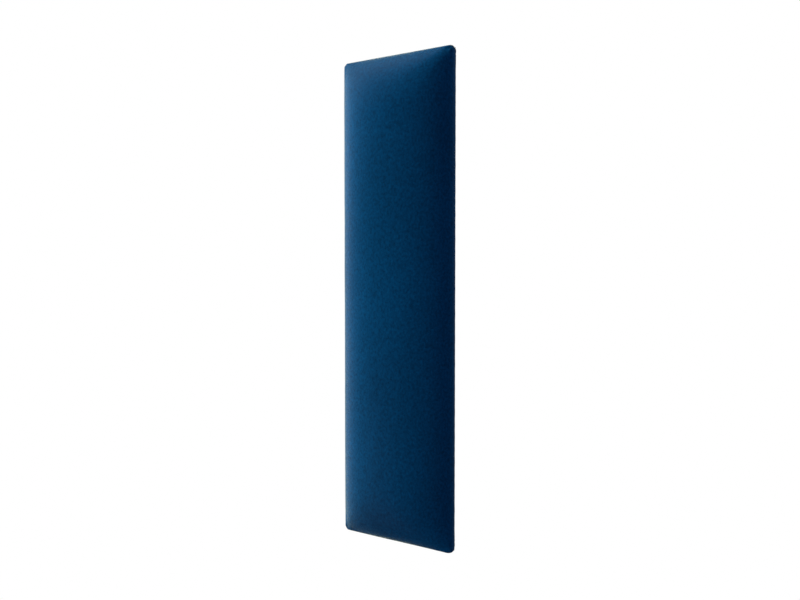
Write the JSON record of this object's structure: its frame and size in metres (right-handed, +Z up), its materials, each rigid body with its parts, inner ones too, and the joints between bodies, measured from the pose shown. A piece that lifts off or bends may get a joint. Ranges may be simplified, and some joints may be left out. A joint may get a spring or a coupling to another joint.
{
  "type": "upholstered wall panel",
  "caption": "Tall narrow padded wall panel in dark blue velvet with a crowned front, hung on Z-shaped wall clips.",
  "frame": {"origin": "on the wall's surface, in the middle of the four wall screw holes, level with the panel's middle", "axes": "+Z up, X across the width, +Y into the wall; the padded front faces -Y"},
  "size_m": [0.15, 0.0406, 0.6],
  "materials": {
    "velvet": "dark blue short-pile velvet, soft sheen at its edges",
    "wadding": "white polyester wadding",
    "foam": "cream upholstery foam, cut faces",
    "plywood": "unfinished thin birch plywood",
    "staple_steel": "galvanised staple wire",
    "screw_steel": "zinc-plated screws",
    "clip_aluminium": "mill-finish extruded aluminium",
    "bumper_rubber": "matt black rubber"
  },
  "bodies": {
    "wall_clips": {"wall_clip_upper": "clip_aluminium", "wall_clip_lower": "clip_aluminium"},
    "panel": {"velvet_cover": "velvet", "wadding_layer": "wadding", "foam_core": "foam", "back_board": "plywood", "cover_staples_left": "staple_steel", "cover_staples_right": "staple_steel", "cover_staples_top": "staple_steel", "cover_staples_bottom": "staple_steel", "corner_staples": "staple_steel", "panel_clip_upper": "clip_aluminium", "panel_clip_lower": "clip_aluminium", "clip_screws_upper": "screw_steel", "clip_screws_lower": "screw_steel", "wall_bumper_upper_left": "bumper_rubber", "wall_bumper_upper_right": "bumper_rubber", "wall_bumper_lower_left": "bumper_rubber", "wall_bumper_lower_right": "bumper_rubber"}
  },
  "joints": [
    {"name": "panel_lift", "type": "slide", "parent": "wall_clips", "child": "panel", "axis": [0, 0, 1], "range_m": [0, 0.02]}
  ]
}
